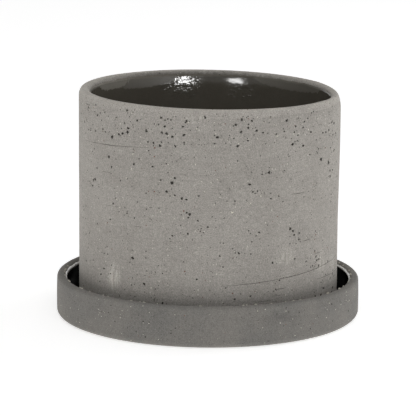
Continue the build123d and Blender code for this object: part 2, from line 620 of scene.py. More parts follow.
@dataclass(frozen=True)
class Glaze:
    """Brown-black stoneware glaze, brushed on thick and fired until it ran glossy.

    It reflects like glass, but it isn't flat: brush marks and boiled bubbles under the skin break
    each reflection up. Where it thins out at its edge it turns pale and dry; the saucer's edge is
    drawn near white, partly as a painted reflection of the white sweep.
    """

    name: str
    body: str
    thin: str
    edge: str
    edge_height: float  # mm, where it has turned to the edge's colour
    edge_spread: float  # mm, over which it turns
    roughness: float = 0.12
    dry_roughness: float = 0.6
    gloss: float = 0.2  # under glass, as the skin is finely pitted
    brushed: tuple[Rub, ...] = ()  # thick and lumpy patches; the strength is in mm
    starved_sheen: tuple[Rub, ...] = ()  # patches where the brush ran dry: matt, and drawn greyer, partly as a painted reflection of the white surround
    starved_sheen_colour: str = "#8C887E"
    edge_coat: float = 0.0  # 1 where the pale edge has a clear gloss coat
    surface: float = 73.0  # mm, radius of the wall that the brushed patches are on

    def build(self) -> Material:
        """Builds the material.

        Returns:
            The material.
        """
        material, nodes, place = new_material(self.name)
        clouds = nodes.add("TexNoise", Vector=place, Scale=1 / 9, Detail=5.0)
        spots = nodes.add("TexNoise", Vector=place, Scale=1.0, Detail=2.0)
        mottled = nodes.add("Math", clouds, spots, 0.25, operation="MULTIPLY_ADD")
        colour = nodes.add("MixRGB", mottled, linear(self.body), linear(self.thin))
        height = nodes.add("SeparateXYZ", place, out="Z")
        ragged = nodes.add("Math", spots, 1.2, height, operation="MULTIPLY_ADD")
        edge_top = self.edge_height + 0.6
        dry = nodes.add("MapRange", ragged, edge_top - self.edge_spread, edge_top)
        matt = dry
        # Painted reflection, in part: the starved patches' paler grey stands in for the white surround
        # reflected at a grazing angle, as well as thin dry glaze.
        if self.starved_sheen:
            blots = nodes.add("TexNoise", Vector=place, Scale=1 / 2.4, Detail=3.0, out="Color")
            wall = unroll(nodes, place)
            torn = nodes.add("VectorMath", blots, (9.0, 3.0, 0.0), wall, operation="MULTIPLY_ADD")
            for mark in self.starved_sheen:
                amount = patch(nodes, torn, mark, 0.86)
                colour = nodes.add("MixRGB", amount, colour, linear(self.starved_sheen_colour))
                whole = nodes.add("Math", amount, 1 / mark.strength, operation="MULTIPLY")
                matt = nodes.add("Math", matt, whole, operation="MAXIMUM")
        crawled = nodes.add("MapRange", spots, 0.52, 0.62)
        rim_colour = nodes.add("MixRGB", crawled, linear(self.edge), colour)
        swell = nodes.add("TexNoise", Vector=place, Scale=1 / 8, Detail=1.0)
        peel = nodes.add("TexNoise", Vector=place, Scale=1 / 1.4, Detail=1.0)
        normal = nodes.add("Bump", Strength=1.0, Distance=0.00022, Height=swell)
        normal = nodes.add("Bump", Strength=0.4, Distance=0.00006, Height=peel, Normal=normal)
        for thick in self.brushed:
            normal = self.lumps(nodes, place, normal, thick)
        shader = nodes.add(
            "BsdfPrincipled",
            Base_Color=nodes.add("MixRGB", dry, colour, rim_colour),
            Roughness=nodes.add("MapRange", matt, 0.0, 1.0, self.roughness, self.dry_roughness),
            IOR=1.5,
            Specular_IOR_Level=self.gloss,
            Coat_Weight=nodes.add("Math", dry, self.edge_coat, operation="MULTIPLY"),
            Coat_Roughness=0.15,
            Normal=normal,
        )
        nodes.add("OutputMaterial", shader)
        return material

    def lumps(self, nodes: Nodes, place: Socket, normal: Socket, thick: Rub) -> Socket:
        """Adds the lumps and brush lines of a thickly brushed patch to the relief.

        Args:
            nodes: The material's nodes.
            place: Object coordinates in mm.
            normal: The relief so far.
            thick: The patch, with the height of its lumps in mm as its strength.

        Returns:
            The new relief.
        """
        centre = on_wall(math.radians(thick.angle), thick.height, self.surface)
        wide = math.radians(thick.half_wide) * self.surface
        far = oval(nodes, place, centre, (wide, wide, thick.half_tall))
        amount = nodes.add("MapRange", far, 1.1, 0.6)
        brush_lines = nodes.add("MapRange", streaks(nodes, place, 4, 0.8), 0.62, 0.72)
        for source, depth in (
            (streaks(nodes, place, 3.4, 2.0), thick.strength * MM),
            (brush_lines, 0.00012),
        ):
            height = nodes.add("Math", source, amount, operation="MULTIPLY")
            normal = nodes.add("Bump", Strength=1.0, Distance=depth, Height=height, Normal=normal)
        return normal


@dataclass(frozen=True)
class MouldedRubber:
    """Black EPDM rubber, compression moulded: matt, with a faint bloom."""

    name: str = "moulded_rubber"
    black: str = "#202020"
    bloomed: str = "#2E2D2B"

    def build(self) -> Material:
        """Builds the material.

        Returns:
            The material.
        """
        material, nodes, place = new_material(self.name)
        bloom = nodes.add("TexNoise", Vector=place, Scale=1 / 3, Detail=3.0)
        grain = nodes.add("TexNoise", Vector=place, Scale=1 / 0.25, Detail=1.0)
        shader = nodes.add(
            "BsdfPrincipled",
            Base_Color=nodes.add("MixRGB", bloom, linear(self.black), linear(self.bloomed)),
            Roughness=0.6,
            IOR=1.5,
            Normal=nodes.add("Bump", Strength=0.3, Distance=0.00003, Height=grain),
        )
        nodes.add("OutputMaterial", shader)
        return material


@dataclass(frozen=True)
class WoolFelt:
    """Pressed wool felt: short fibres matted every way, with no weave and a soft edge."""

    name: str
    light: str
    dark: str
    fibre_mm: float = 0.25

    def build(self) -> Material:
        """Builds the material.

        Returns:
            The material.
        """
        material, nodes, place = new_material(self.name)
        mats = nodes.add("TexNoise", Vector=place, Scale=1 / 2.5, Detail=3.0, out="Color")
        twist = nodes.add("VectorMath", mats, Scale=3.0, operation="SCALE")
        curled = nodes.add("VectorMath", place, twist, operation="ADD")
        fibres = nodes.add(
            "TexWave",
            Vector=curled,
            Scale=1 / (self.fibre_mm * 6),
            Distortion=12.0,
            Detail=3.0,
            Detail_Scale=2.0,
            out="Fac",
        )
        shader = nodes.add(
            "BsdfPrincipled",
            Base_Color=nodes.add("MixRGB", fibres, linear(self.dark), linear(self.light)),
            Roughness=0.95,
            Specular_IOR_Level=0.1,
            Sheen_Weight=0.3,
            Sheen_Roughness=0.6,
            Normal=nodes.add("Bump", Strength=0.8, Distance=0.0002, Height=fibres),
        )
        nodes.add("OutputMaterial", shader)
        return material


# ---------------------------------------------------------------------------------------------
# Marks in the clay
# ---------------------------------------------------------------------------------------------


@dataclass(frozen=True)
class Pit:
    """An open pit in the clay's skin."""

    angle: float  # degrees from the front, growing towards +X
    height: float  # mm
    width: float  # mm, round the wall
    tall: float  # mm
    tilt: float = 0.0  # degrees that its long side turns out of the level


@dataclass(frozen=True)
class PitGroup:
    """A stretch of wall where larger pits stand together."""

    angle: float  # degrees from the front, at its middle
    height: float  # mm, at its middle
    wide: float  # degrees to each side
    tall: float  # mm up and down
    count: int
    size: float = 1.2  # mm, width of a middling pit
    slope: float = 0.0  # mm that the group climbs for each degree


@dataclass(frozen=True)
class Hairline:
    """A fine line that a grain dragged under the trimming tool, as the pot turned."""

    start: float  # degrees from the front
    end: float
    height: float  # mm at its start
    rise: float  # mm from start to end
    width: float = 0.24  # mm


def blob(mesh: Mesh, place: Matrix, size: Vector, rough: float, detail: int, seed: float) -> None:
    """Adds one uneven grain to a mesh of cutters.

    Args:
        mesh: The mesh of cutters.
        place: Turns and moves the grain.
        size: Its half sizes in mm.
        rough: How uneven it is, from 0 to 1.
        detail: Subdivisions of the sphere that it starts from.
        seed: Picks its shape.
    """
    made = bmesh.ops.create_icosphere(mesh, subdivisions=detail, radius=1.0)
    for vertex in made["verts"]:
        uneven = 1 + rough * noise.noise(vertex.co * 1.9 + Vector((seed, 3.1 * seed, -seed)))
        vertex.co = place @ Vector(a * b * uneven for a, b in zip(vertex.co, size))


def facing(point: Vector, tilt: float, out: float = 0.0) -> Matrix:
    """Finds the frame of a mark on a wall: X round the wall, Y into it and Z up.

    Args:
        point: The mark's place on the wall, in mm.
        tilt: Radians that the mark is turned on the wall.
        out: How far in front of the wall it stands, in mm.

    Returns:
        The matrix that puts a mark made at the origin there.
    """
    angle = bearing(point)
    place = on_wall(angle, point.z, math.hypot(point.x, point.y) + out)
    return Matrix.Translation(place) @ Matrix.Rotation(angle, 4, "Z") @ Matrix.Rotation(tilt, 4, "Y")


class Crowd:
    """Keeps marks from running into each other."""

    def __init__(self) -> None:
        """Starts with no marks."""
        self.taken: dict[tuple[int, int, int], list[tuple[Vector, float]]] = {}

    def fits(self, point: Vector, reach: float) -> bool:
        """Takes a place for a mark if it is free.

        Args:
            point: The mark's place, in mm.
            reach: Its half size, in mm, under 2.5.

        Returns:
            Whether the place was free, and is now taken.
        """
        cell = tuple(math.floor(c / 5) for c in point)
        near = [
            mark
            for x in (-1, 0, 1)
            for y in (-1, 0, 1)
            for z in (-1, 0, 1)
            for mark in self.taken.get((cell[0] + x, cell[1] + y, cell[2] + z), [])
        ]
        if any((point - other).length < reach + size + 0.12 for other, size in near):
            return False
        self.taken.setdefault(cell, []).append((point, reach))
        return True


# ---------------------------------------------------------------------------------------------
# The planter
# ---------------------------------------------------------------------------------------------


def turned_size(node: str) -> tuple[float, float, float]:
    """Returns the outer radius, the bottom and the top of a node round the axis, in mm."""
    low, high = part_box(node)
    return high.x / MM, low.z / MM, high.z / MM


@dataclass
class Vessel:
    """What the pot and the saucer share: raw clay with pits and grains, and glaze inside."""

    clay: Material
    pit_clay_painted_shade: Material
    grog: Material
    glaze: Material
    radius: float = 0.0
    rim: float = 0.0
    underside: float = 0.0
    bore: float = 0.0
    floor: float = 0.0
    glaze_depth: float = 0.5
    steps: int = 320
    crease: float = 32.0  # degrees, from which an edge of the clay is sharp

    def wall(self, angle: float, height: float) -> Vector:
        """Returns a point of the made wall, in mm, at radians from the front and a height."""
        return self.uneven(on_wall(angle, height, self.radius))

    def carve(self, body: Piece) -> None:
        """Opens the pits of a body and sets the pale grog grains in it.

        Args:
            body: The turned body.
        """
        pits, grains = self.marks()
        cut(body, finish_mesh(pits, "pit_cutters", self.pit_clay_painted_shade), Cut.AWAY)
        cut(body, finish_mesh(grains, "grog_grains", self.grog), Cut.ADD)
        shade(body, self.crease)

    def scatter(
        self,
        crowd: Crowd,
        lot: random.Random,
        count: int,
        heights: tuple[float, float],
        width: Callable[[], float],
    ) -> Iterator[tuple[int, Vector, float]]:
        """Finds free places for small marks on the wall.

        Args:
            crowd: The marks so far.
            lot: The source of chance.
            count: How many places to find.
            heights: Their lowest and highest height, in mm.
            width: Draws a mark's width, in mm.

        Yields:
            A mark's number from 1, its place in mm and its width in mm.
        """
        number = 0
        while number < count:
            angle = lot.uniform(-math.pi, math.pi)
            point = self.wall(angle, lot.uniform(*heights))
            reach = width()
            if crowd.fits(point, reach):
                number += 1
                yield number, point, reach


@dataclass
class Pot(Vessel):
    """The pot: its stoneware body and its glaze lining."""

    underside: float = 12.0
    foot: float = 0.0
    foot_radius: float = 66.0
    foot_width: float = 9.0
    notch_width: float = 14.0
    notch_count: int = 4
    drain: float = 7.0
    rim_round: float = 2.8
    lip_tall: float = 6.8  # mm over which the outside of the lip rounds over
    heel_round: float = 4.0
    inner_round: float = 10.0
    glaze_edge: float = 2.5  # mean depth of the glaze's edge under the rim
    flare_depth: float = 10.5  # mm under the rim, where the bore starts to open
    flare_radius: float = 30.0  # mm, of the arc on which it opens
    slack: float = 0.14  # kept inside the frame's radius for the uneven wall
    mark_seed: int = 11
    line_seed: int = 17
    random_pits: int = 1750
    pit_groups: tuple[PitGroup, ...] = (
        PitGroup(-55, 130, 15, 10, 16, 1.1),
        PitGroup(-35, 125, 8, 3, 5, 1.6),
        PitGroup(-15, 130, 6, 6, 8, 1.5),
        PitGroup(-10, 120, 15, 4, 4, 1.1),
        PitGroup(10, 130, 14, 6, 6, 1.3),
        PitGroup(35, 130, 12, 6, 8, 1.2),
        PitGroup(60, 120, 12, 12, 12, 1.2),
        PitGroup(60, 105, 6, 4, 3, 1.8),
        PitGroup(70, 95, 5, 5, 3, 1.7),
        PitGroup(-50, 105, 4, 4, 2, 1.5),
        PitGroup(-15, 90, 8, 1, 6, 1.2, -0.6),
        PitGroup(25, 90, 10, 2, 6, 1.1, -0.5),
        PitGroup(-40, 75, 10, 10, 6, 1.0),
        PitGroup(-5, 75, 5, 5, 6, 1.1),
        PitGroup(-15, 65, 8, 3, 4, 1.1),
        PitGroup(40, 65, 5, 2, 5, 1.4, -0.3),
        PitGroup(20, 65, 5, 4, 5, 1.1),
        PitGroup(5, 50, 2, 4, 4, 1.0),
        PitGroup(-35, 50, 4, 4, 1, 1.8),
        PitGroup(65, 30, 12, 12, 14, 1.2),
        PitGroup(-60, 50, 10, 15, 6, 1.1),
    )
    short_lines: int = 9
    random_grains: int = 260
    large_grain: tuple[float, float] = (10.0, 80.0)  # degrees from the front, and mm up

    def measure(self) -> None:
        """Reads the pot's sizes from the frame, in mm."""
        self.radius, self.foot, self.rim = turned_size("pot_body")
        self.bore, self.floor, _ = turned_size("pot_glaze")

    def narrowing(self, depth: float) -> float:
        """Finds how much narrower the bore is than at its mouth.

        Args:
            depth: Depth under the rim, in mm.

        Returns:
            The narrowing of its radius, in mm.
        """
        radius = self.flare_radius
        full = radius - math.sqrt(radius**2 - (self.flare_depth - 1.5) ** 2)
        reach = min(max(self.flare_depth - depth, 0.0), self.flare_depth)
        return max(0.0, full - (radius - math.sqrt(radius**2 - reach**2)))

    def uneven(self, point: Vector) -> Vector:
        """Gives the turned wall the unevenness of one made by hand.

        Args:
            point: A point of the even pot, in mm.

        Returns:
            Where the made pot has it.
        """
        flat = math.hypot(point.x, point.y)
        outward = Vector((point.x, point.y, 0)) / max(flat, 0.001)
        if flat > self.bore + self.rim_round + 0.2:
            side = point.x / flat
            # The wall leans out at the upper right, and the lip is rounder there.
            lean = 0.65 * smooth(0.55, 1.0, side) * smooth(60, 115, point.z)
            swell = 0.10 * waver(point, 45.0, 3.0) + 0.06 * waver(point, 17.0, 5.0)
            over = 1 - (self.rim - point.z) / (self.lip_tall + 2.4 * side)
            if over > 0:
                lip = self.radius - self.rim_round * (1 - math.sqrt(max(0.0, 1 - over**2)))
                point = outward * lip + Vector((0, 0, point.z))
            point = point + outward * (min(swell - self.slack, 0.0) + lean)
        elif flat > self.foot_radius - 6 and point.z > self.floor + 0.4:
            weight = smooth(self.foot_radius - 6, self.bore - 1, flat)
            up = smooth(self.floor, self.rim, point.z)
            swell = 0.08 * waver(point, 30.0, 9.0)
            # The bore opens most at the front and back, and hardly at the sides.
            side = smooth(0.5, 0.9, abs(point.x) / flat)
            inward = self.narrowing(self.rim - point.z) * (1 - 0.75 * side) - swell
            # The bore sits a little off the axis.
            point = point - outward * (inward * weight) + Vector((0.6 * up, 0, 0))
        across = point.x / self.radius
        tilt = -1.15 - 1.18 * across - 0.25 * across**2 - 0.7 * smooth(0.82, 1.0, across)
        tilt += 0.1 * waver(Vector((point.x, point.y, 0)), 40.0, 7.0)
        point.z += tilt * max(0.0, (point.z - self.floor) / (self.rim - self.floor))
        return point

    def build_body(self) -> Piece:
        """Turns the stoneware body, then notches its foot and opens its pits.

        Returns:
            The piece that stands for the CAD pot.
        """
        inner_foot = self.foot_radius - self.foot_width
        turned = Turning(
            [
                (self.drain, self.underside),
                (inner_foot, self.underside),
                (inner_foot, self.foot),
                (self.foot_radius, self.foot),
                (self.foot_radius, self.underside),
                (self.radius, self.underside),
                (self.radius, self.rim),
                (self.bore, self.rim),
                (self.bore, self.floor),
                (self.drain, self.floor),
            ],
            self.steps,
        )
        turned.round_ring(self.radius, self.rim, self.rim_round, 8)
        turned.round_ring(self.bore, self.rim, self.rim_round, 8)
        turned.round_ring(self.bore, self.floor, self.inner_round, 6)
        turned.round_ring(self.radius, self.underside, self.heel_round, 6)
        for radius in (inner_foot, self.foot_radius):
            turned.round_ring(radius, self.foot, 1.2, 4)
        turned.add_levels(self.rim - 12.5, self.rim - self.rim_round - 0.3, 1.6)
        turned.add_levels(self.underside + self.heel_round + 1, self.rim - 16.0, 4.0)
        turned.move(self.uneven)
        body = turned.finish("pot_stoneware", self.clay)
        cut(body, self.notches(), Cut.AWAY)
        cut(body, self.hairlines(), Cut.AWAY)
        self.carve(body)
        return body

    def notches(self) -> Piece:
        """Builds the blocks that cut the water's ways through the foot ring."""
        tool = bmesh.new()
        deep = 2 * (self.underside - self.foot)
        for i in range(self.notch_count):
            angle = FULL_TURN * i / self.notch_count
            centre = on_wall(angle, self.foot, self.foot_radius - self.foot_width / 2)
            place = Matrix.Translation(centre) @ Matrix.Rotation(angle, 4, "Z")
            size = Matrix.Diagonal((self.notch_width, 2 * self.foot_width, deep, 1))
            bmesh.ops.create_cube(tool, size=1.0, matrix=place @ size)
        top_edges = [
            edge
            for edge in tool.edges
            if min(v.co.z for v in edge.verts) > self.foot
            and edge.calc_length() > self.notch_width + 1
        ]
        round_edges(tool, top_edges, 2.0, 4)
        return finish_mesh(tool, "notch_blocks", self.clay)

    def hairlines(self) -> Piece:
        """Builds the cutters of the hairlines that the trimming left in the wall."""
        tool = bmesh.new()
        lines = [
            Hairline(-70, -25, 113, 4, 0.2),
            Hairline(-60, -35, 114, 1.5, 0.14),
            Hairline(5, 80, 35, 6, 0.3),
            Hairline(55, 85, 32, -1),
            Hairline(112, 190, 96, -3, 0.22),
            Hairline(-160, -128, 52, 1, 0.26),
        ]
        # Short ones between the long ones, each on a level of its own so that no two meet.
        lot = random.Random(self.line_seed)
        for number in range(self.short_lines):
            near_foot = number < 3
            level = 24 + 3.5 * number if near_foot else 48 + 10 * (number - 3)
            start = lot.uniform(0, 40) if near_foot else lot.uniform(-60, 60)
            end, height = start + lot.uniform(4, 9), level + lot.uniform(-0.5, 0.5)
            lines.append(Hairline(start, end, height, lot.uniform(0, 0.5), lot.uniform(0.18, 0.3)))
        for line in lines:
            self.sweep_hairline(tool, line)
        bmesh.ops.recalc_face_normals(tool, faces=tool.faces)
        return finish_mesh(tool, "hairline_cutters", self.pit_clay_painted_shade)

    def sweep_hairline(self, tool: Mesh, line: Hairline) -> None:
        """Sweeps one hairline's cutter along the wall, tapered at both ends.

        Args:
            tool: The mesh of cutters.
            line: The hairline.
        """
        start = math.radians(line.start)
        turn = math.radians(line.end) - start
        steps = max(6, round(math.degrees(turn)))
        half = line.width / 2
        corners = []
        for out, up in ((-0.2, 0.0), (0.0, half), (0.3, 0.0), (0.0, -half)):
            place = on_wall(start, line.height + up, self.radius + out)
            corners.append(tool.verts.new(place))
        edges = [tool.edges.new(pair) for pair in zip(corners, corners[1:] + corners[:1])]
        before = set(tool.verts) - set(corners)
        bmesh.ops.spin(
            tool,
            geom=corners + edges,
            cent=(0, 0, 0),
            axis=AXIS,
            dvec=(0, 0, line.rise / steps),
            angle=turn,
            steps=steps,
        )
        made = [vertex for vertex in tool.verts if vertex not in before]
        bmesh.ops.holes_fill(
            tool, edges=[e for e in tool.edges if e.is_boundary and e.verts[0] in made], sides=4
        )
        for vertex in made:
            along = (bearing(vertex.co) - start) % FULL_TURN / turn
            if along > 1.5:
                along = 0.0
            middle_height = line.height + line.rise * along
            taper = 0.15 + 0.85 * math.sqrt(max(0.0, math.sin(math.pi * min(along, 1.0))))
            taper *= 0.85 + 0.4 * waver(vertex.co, 5.0, 21.0)
            out = math.hypot(vertex.co.x, vertex.co.y) - self.radius
            drift = 0.16 * waver(vertex.co, 14.0, 22.0)
            wall = self.uneven(on_wall(bearing(vertex.co), middle_height, self.radius))
            radius = math.hypot(wall.x, wall.y) + out * (taper if out < 0 else 1.0)
            height = wall.z + drift + (vertex.co.z - middle_height) * taper
            vertex.co = on_wall(bearing(vertex.co), height, radius)

    def large_pits(self, lot: random.Random) -> list[Pit]:
        """Draws the pits that stand out, inside each group.

        Args:
            lot: The source of chance.

        Returns:
            The pits.
        """
        marks: list[Pit] = []
        for group in self.pit_groups:
            for _ in range(group.count):
                along = lot.uniform(-group.wide, group.wide)
                up = lot.uniform(-group.tall, group.tall) + group.slope * along
                width = group.size * lot.uniform(0.75, 1.25)
                tall = width * lot.uniform(0.6, 1.1)
                tilt = lot.uniform(-30, 30)
                marks.append(Pit(group.angle + along, group.height + up, width, tall, tilt))
        return marks

    def random_marks(self, lot: random.Random) -> list[Pit]:
        """Draws the rest of the pits, thickest under the rim and near the foot.

        Args:
            lot: The source of chance.

        Returns:
            The pits.
        """
        marks: list[Pit] = []
        while len(marks) < self.random_pits:
            angle = lot.uniform(-180, 180)
            height = lot.uniform(self.underside + 3, self.rim - 3.5)
            point = on_wall(math.radians(angle), height, self.radius)
            crowd = 0.2 + 0.6 * waver(point, 20.0, 1.0)
            crowd += 1.10 * smooth(self.rim - 30, self.rim - 14, height)
            crowd += 0.40 * smooth(self.underside + 34, self.underside + 10, height)
            crowd += 0.30 * smooth(50, 70, abs(angle)) * smooth(60, 100, height)
            crowd += 0.50 * smooth(48, 66, angle) * smooth(44, 28, height)
            if lot.random() > crowd:
                continue
            together = 1 + (lot.randint(2, 6) if lot.random() < 0.22 else 0)
            slope = lot.uniform(-1.0, 1.0)
            for _ in range(together):
                width = min(0.42 + lot.expovariate(3.4), 1.9)
                along = lot.uniform(-2.6, 2.6)
                marks.append(
                    Pit(
                        angle + along,
                        height + 1.2 * slope * along + lot.uniform(-1.2, 1.2),
                        width,
                        width * lot.uniform(0.5, 1.1),
                        lot.uniform(-50, 50),
                    )
                )
        return marks

    def marks(self) -> tuple[Mesh, Mesh]:
        """Builds the cutters of the pits, and the pale grog grains in and between them.

        A grain beside a pit is partly a painted highlight on the pit's lit lower edge.

        Returns:
            The cutters and the grains, each as one working mesh.
        """
        lot = random.Random(self.mark_seed)
        pits, grains = bmesh.new(), bmesh.new()
        crowd = Crowd()
        for number, pit in enumerate(self.large_pits(lot) + self.random_marks(lot)):
            if not self.underside + 2.5 < pit.height < self.rim - 3:
                continue
            point = self.wall(math.radians(pit.angle), pit.height)
            reach = 0.62 * max(pit.width, pit.tall)
            if not crowd.fits(point, reach):
                continue
            size = Vector((0.57 * pit.width, 0.32 + 0.24 * min(pit.width, 1.8), 0.57 * pit.tall))
            detail = 2 if pit.width > 1.2 else 1
            blob(pits, facing(point, math.radians(pit.tilt)), size, 1.1, detail, 0.37 * number)
            # Painted highlight, in part: a pale grain, mostly just below a pit, stands for the pit's
            # lit lower edge as well as for grog.
            if lot.random() < 0.3:
                side = lot.uniform(-1.0, 1.6)
                beside = point + Vector((0, 0, -reach * side))
                beside.rotate(Matrix.Rotation(reach / self.radius * lot.choice((-1, 1)), 3, "Z"))
                grain = Vector((lot.uniform(0.22, 0.5), 0.2, lot.uniform(0.2, 0.42)))
                if crowd.fits(beside, 0.0):
                    blob(grains, facing(beside, 0.0, -0.1), grain, 0.9, 1, 0.71 * number)
        heights = (self.underside + 6, self.rim - 4)
        for number, point, width in self.scatter(
            crowd, lot, self.random_grains, heights, lambda: 0.2 + min(lot.expovariate(7), 0.5)
        ):
            grain = Vector((width, 0.18, width * lot.uniform(0.6, 1.1)))
            blob(grains, facing(point, lot.uniform(0, 3), -0.1), grain, 0.8, 1, 0.53 * number)
        angle, height = self.large_grain
        large = self.wall(math.radians(angle), height)
        if crowd.fits(large, 0.8):
            blob(grains, facing(large, 0.0, -0.1), Vector((0.8, 0.24, 0.62)), 0.9, 2, 4.2)
        return pits, grains

    def build_lining(self) -> Piece:
        """Turns the glaze that lines the pot.

        Returns:
            The piece that stands for the CAD glaze.
        """
        surface = self.bore - self.glaze_depth
        top = self.floor + self.glaze_depth
        skin = Turning(
            [(self.drain + 0.3, top), (surface, top), (surface, self.rim - 0.6)],
            2 * self.steps,
            closed=False,
        )
        skin.round_ring(surface, top, self.inner_round - self.glaze_depth, 8)
        skin.add_levels(self.rim - 12.0, self.rim - 1.0, 0.45)
        skin.add_levels(self.floor + self.inner_round + 2, self.rim - 13.5, 5.0)
        skin.move(self.glaze_skin)
        return back_skin(skin, "pot_glaze_lining", self.glaze)

    def glaze_skin(self, point: Vector) -> Vector:
        """Lays the glaze over the uneven bore, and lets it sink into the clay above its edge.

        Args:
            point: A point of the even lining, in mm.

        Returns:
            Where the fired glaze has it.
        """
        flat = math.hypot(point.x, point.y)
        if flat < self.foot_radius - 6:
            point.z += 0.06 * waver(point, 12.0, 4.0)
            return point
        outward = Vector((point.x, point.y, 0)) / flat
        depth = self.rim - point.z
        edge = self.glaze_edge + 0.35 * waver(point, 9.0, 6.0) + 0.3 * waver(point, 3.2, 8.0)
        gone = smooth(edge + 0.8, edge - 0.3, depth)
        rounding = lip_round(self.rim_round, depth)
        waves = 0.05 * waver(point, 9.0, 2.0)
        return self.uneven(point + outward * (rounding + gone * (self.glaze_depth + 0.15) - waves))


def lip_round(radius: float, depth: float) -> float:
    """Returns how far a rounded lip falls back from the wall at a depth under its top, in mm."""
    above = max(0.0, radius - depth)
    return radius - math.sqrt(max(0.0, radius**2 - above**2))


def back_skin(skin: Turning, name: str, glaze: Material) -> Piece:
    """Turns a glaze skin to face the axis and the sky, and gives it a back inside the clay.

    Args:
        skin: The skin, open at its edges.
        name: Name of the piece.
        glaze: Its material.

    Returns:
        The closed lining.
    """
    bmesh.ops.recalc_face_normals(skin.mesh, faces=skin.mesh.faces)
    lowest = min(skin.mesh.faces, key=lambda face: face.calc_center_median().z)
    if lowest.normal.z < 0:
        bmesh.ops.reverse_faces(skin.mesh, faces=skin.mesh.faces)
    lining = skin.finish(name, glaze)
    backing = lining.modifiers.new("backing", "SOLIDIFY")
    backing.thickness = 0.4 * MM
    backing.offset = -1.0
    apply_modifiers(lining)
    shade(lining, 60)
    return lining


